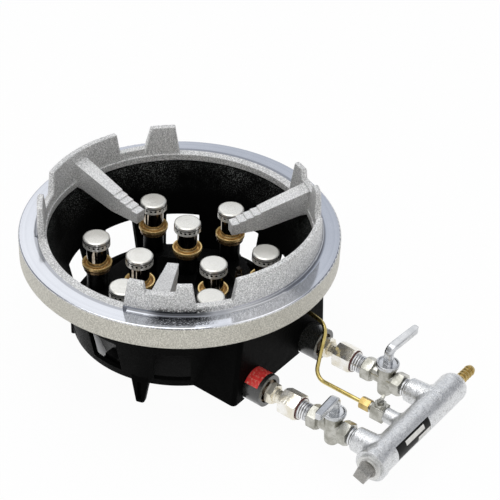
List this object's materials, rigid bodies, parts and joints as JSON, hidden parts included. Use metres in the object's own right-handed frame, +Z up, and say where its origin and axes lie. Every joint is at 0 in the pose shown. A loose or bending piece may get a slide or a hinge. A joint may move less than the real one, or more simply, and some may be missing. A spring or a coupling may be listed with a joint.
{
  "type": "gas burner stove",
  "caption": "Low cast-iron gas burner stove with a lift-off pan ring, upright burner heads, lever cocks and a pilot valve on a front supply manifold.",
  "frame": {"origin": "on the burner's vertical axis, at the floor", "axes": "+Z up, -Y towards the front with the gas supply, X along the manifold with the hose barb at +X"},
  "size_m": [0.37, 0.5318, 0.198],
  "materials": {
    "silver_casting": "silver paint, flat top machined bright",
    "black_enamel": "gloss black enamel over sand casting",
    "black_iron": "black painted sand casting",
    "satin_casting": "satin silver paint over casting",
    "plain_steel": "plain zinc-grey steel",
    "bright_brass": "bright turned brass",
    "pale_brass": "drawn tube, pale yellow",
    "head_brass": "dark turned brass",
    "jet_brass": "nickel-plated brass, worn to a cream tint",
    "nickel": "satin nickel plate",
    "bright_nickel": "bright nickel plate",
    "chrome_pipe": "chrome plate",
    "zinc": "satin zinc die casting",
    "red_fibre": "dark red fibre",
    "collar_steel": "bright steel with punched ports",
    "cap_steel": "turned and brushed steel"
  },
  "bodies": {
    "stove_base": {"body_shell": "black_enamel", "burner_casting": "black_iron", "manifold": "satin_casting", "manifold_end_plug": "plain_steel", "hose_barb": "bright_brass", "pilot_valve_body": "nickel", "pilot_flare_nut": "bright_brass", "pilot_tube": "pale_brass", "pilot_burner_tip": "head_brass", "outer_head_1_base": "head_brass", "outer_head_1_collar": "collar_steel", "outer_head_1_cap": "cap_steel", "outer_head_2_base": "head_brass", "outer_head_2_collar": "collar_steel", "outer_head_2_cap": "cap_steel", "outer_head_3_base": "head_brass", "outer_head_3_collar": "collar_steel", "outer_head_3_cap": "cap_steel", "outer_head_4_base": "head_brass", "outer_head_4_collar": "collar_steel", "outer_head_4_cap": "cap_steel", "outer_head_5_base": "head_brass", "outer_head_5_collar": "collar_steel", "outer_head_5_cap": "cap_steel", "outer_head_6_base": "head_brass", "outer_head_6_collar": "collar_steel", "outer_head_6_cap": "cap_steel", "inner_head_1_base": "head_brass", "inner_head_1_collar": "collar_steel", "inner_head_1_cap": "cap_steel", "inner_head_2_base": "head_brass", "inner_head_2_collar": "collar_steel", "inner_head_2_cap": "cap_steel", "inner_head_3_base": "head_brass", "inner_head_3_collar": "collar_steel", "inner_head_3_cap": "cap_steel", "near_jet": "jet_brass", "near_union_tail": "jet_brass", "near_union_nut": "bright_nickel", "near_joint_ring": "red_fibre", "near_union_sleeve": "chrome_pipe", "near_cock_body": "nickel", "near_nipple": "chrome_pipe", "far_jet": "jet_brass", "far_union_tail": "jet_brass", "far_union_nut": "bright_nickel", "far_joint_ring": "red_fibre", "far_union_sleeve": "chrome_pipe", "far_cock_body": "nickel", "far_nipple": "chrome_pipe"},
    "pan_ring": {"pan_ring": "silver_casting"},
    "near_cock": {"near_cock_plug": "jet_brass", "near_cock_lever": "zinc"},
    "far_cock": {"far_cock_plug": "jet_brass", "far_cock_lever": "zinc"},
    "pilot_stem": {"pilot_valve_stem": "nickel"},
    "near_shutter": {"near_air_shutter": "head_brass"},
    "far_shutter": {"far_air_shutter": "head_brass"}
  },
  "joints": [
    {"name": "pan_ring_lift", "type": "slide", "parent": "stove_base", "child": "pan_ring", "axis": [0, 0, 1], "range_m": [0, 0.12]},
    {"name": "near_cock_turn", "type": "hinge", "parent": "stove_base", "child": "near_cock", "pos_m": [-0.0523, -0.2617, 0.044], "axis": [0, 0, 1], "range_deg": [0, 81]},
    {"name": "far_cock_turn", "type": "hinge", "parent": "stove_base", "child": "far_cock", "pos_m": [0.0523, -0.2617, 0.044], "axis": [0, 0, -1], "range_deg": [0, 81]},
    {"name": "pilot_valve_turn", "type": "hinge", "parent": "stove_base", "child": "pilot_stem", "pos_m": [0, -0.2877, 0.044], "axis": [0, 0, 1], "range_deg": [0, 90]},
    {"name": "near_shutter_turn", "type": "hinge", "parent": "stove_base", "child": "near_shutter", "pos_m": [-0.0523, -0.17, 0.044], "axis": [0, -1, 0], "range_deg": [0, 60]},
    {"name": "far_shutter_turn", "type": "hinge", "parent": "stove_base", "child": "far_shutter", "pos_m": [0.0523, -0.17, 0.044], "axis": [0, -1, 0], "range_deg": [0, 60]}
  ]
}
